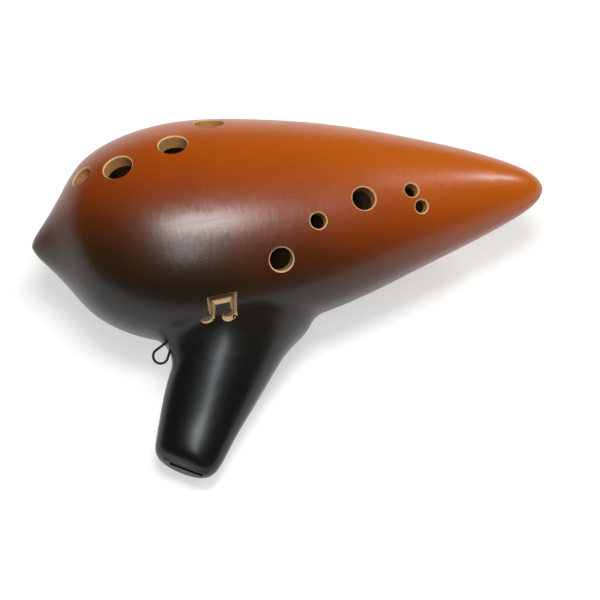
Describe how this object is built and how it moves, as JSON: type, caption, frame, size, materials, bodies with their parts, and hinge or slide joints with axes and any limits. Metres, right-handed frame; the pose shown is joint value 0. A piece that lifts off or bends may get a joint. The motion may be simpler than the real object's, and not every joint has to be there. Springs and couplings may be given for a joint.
{
  "type": "ocarina",
  "caption": "Transverse clay ocarina: a hollow smoke-fired chamber with finger and thumb holes, a mouthpiece stem with a flat windway, and a small wire eye.",
  "frame": {"origin": "middle of the bounding box in plan, on the level the belly rests on", "axes": "+X from the head nub to the tail tip, -Y towards the mouthpiece, +Z out of the finger-hole face"},
  "size_m": [0.1756, 0.123, 0.0622],
  "materials": {
    "smoked_clay": "burnished smoke-fired earthenware, orange to greenish black",
    "bare_clay": "unburnished tan clay",
    "black_wire": "oxidised black wire"
  },
  "bodies": {
    "root": {"front_shell": "smoked_clay", "back_shell": "smoked_clay", "stem_front": "smoked_clay", "stem_back": "smoked_clay", "windway_floor": "bare_clay", "labium_ramp": "bare_clay", "seam_coil": "bare_clay", "eye_plug": "smoked_clay", "lanyard_eye": "black_wire"}
  },
  "joints": []
}
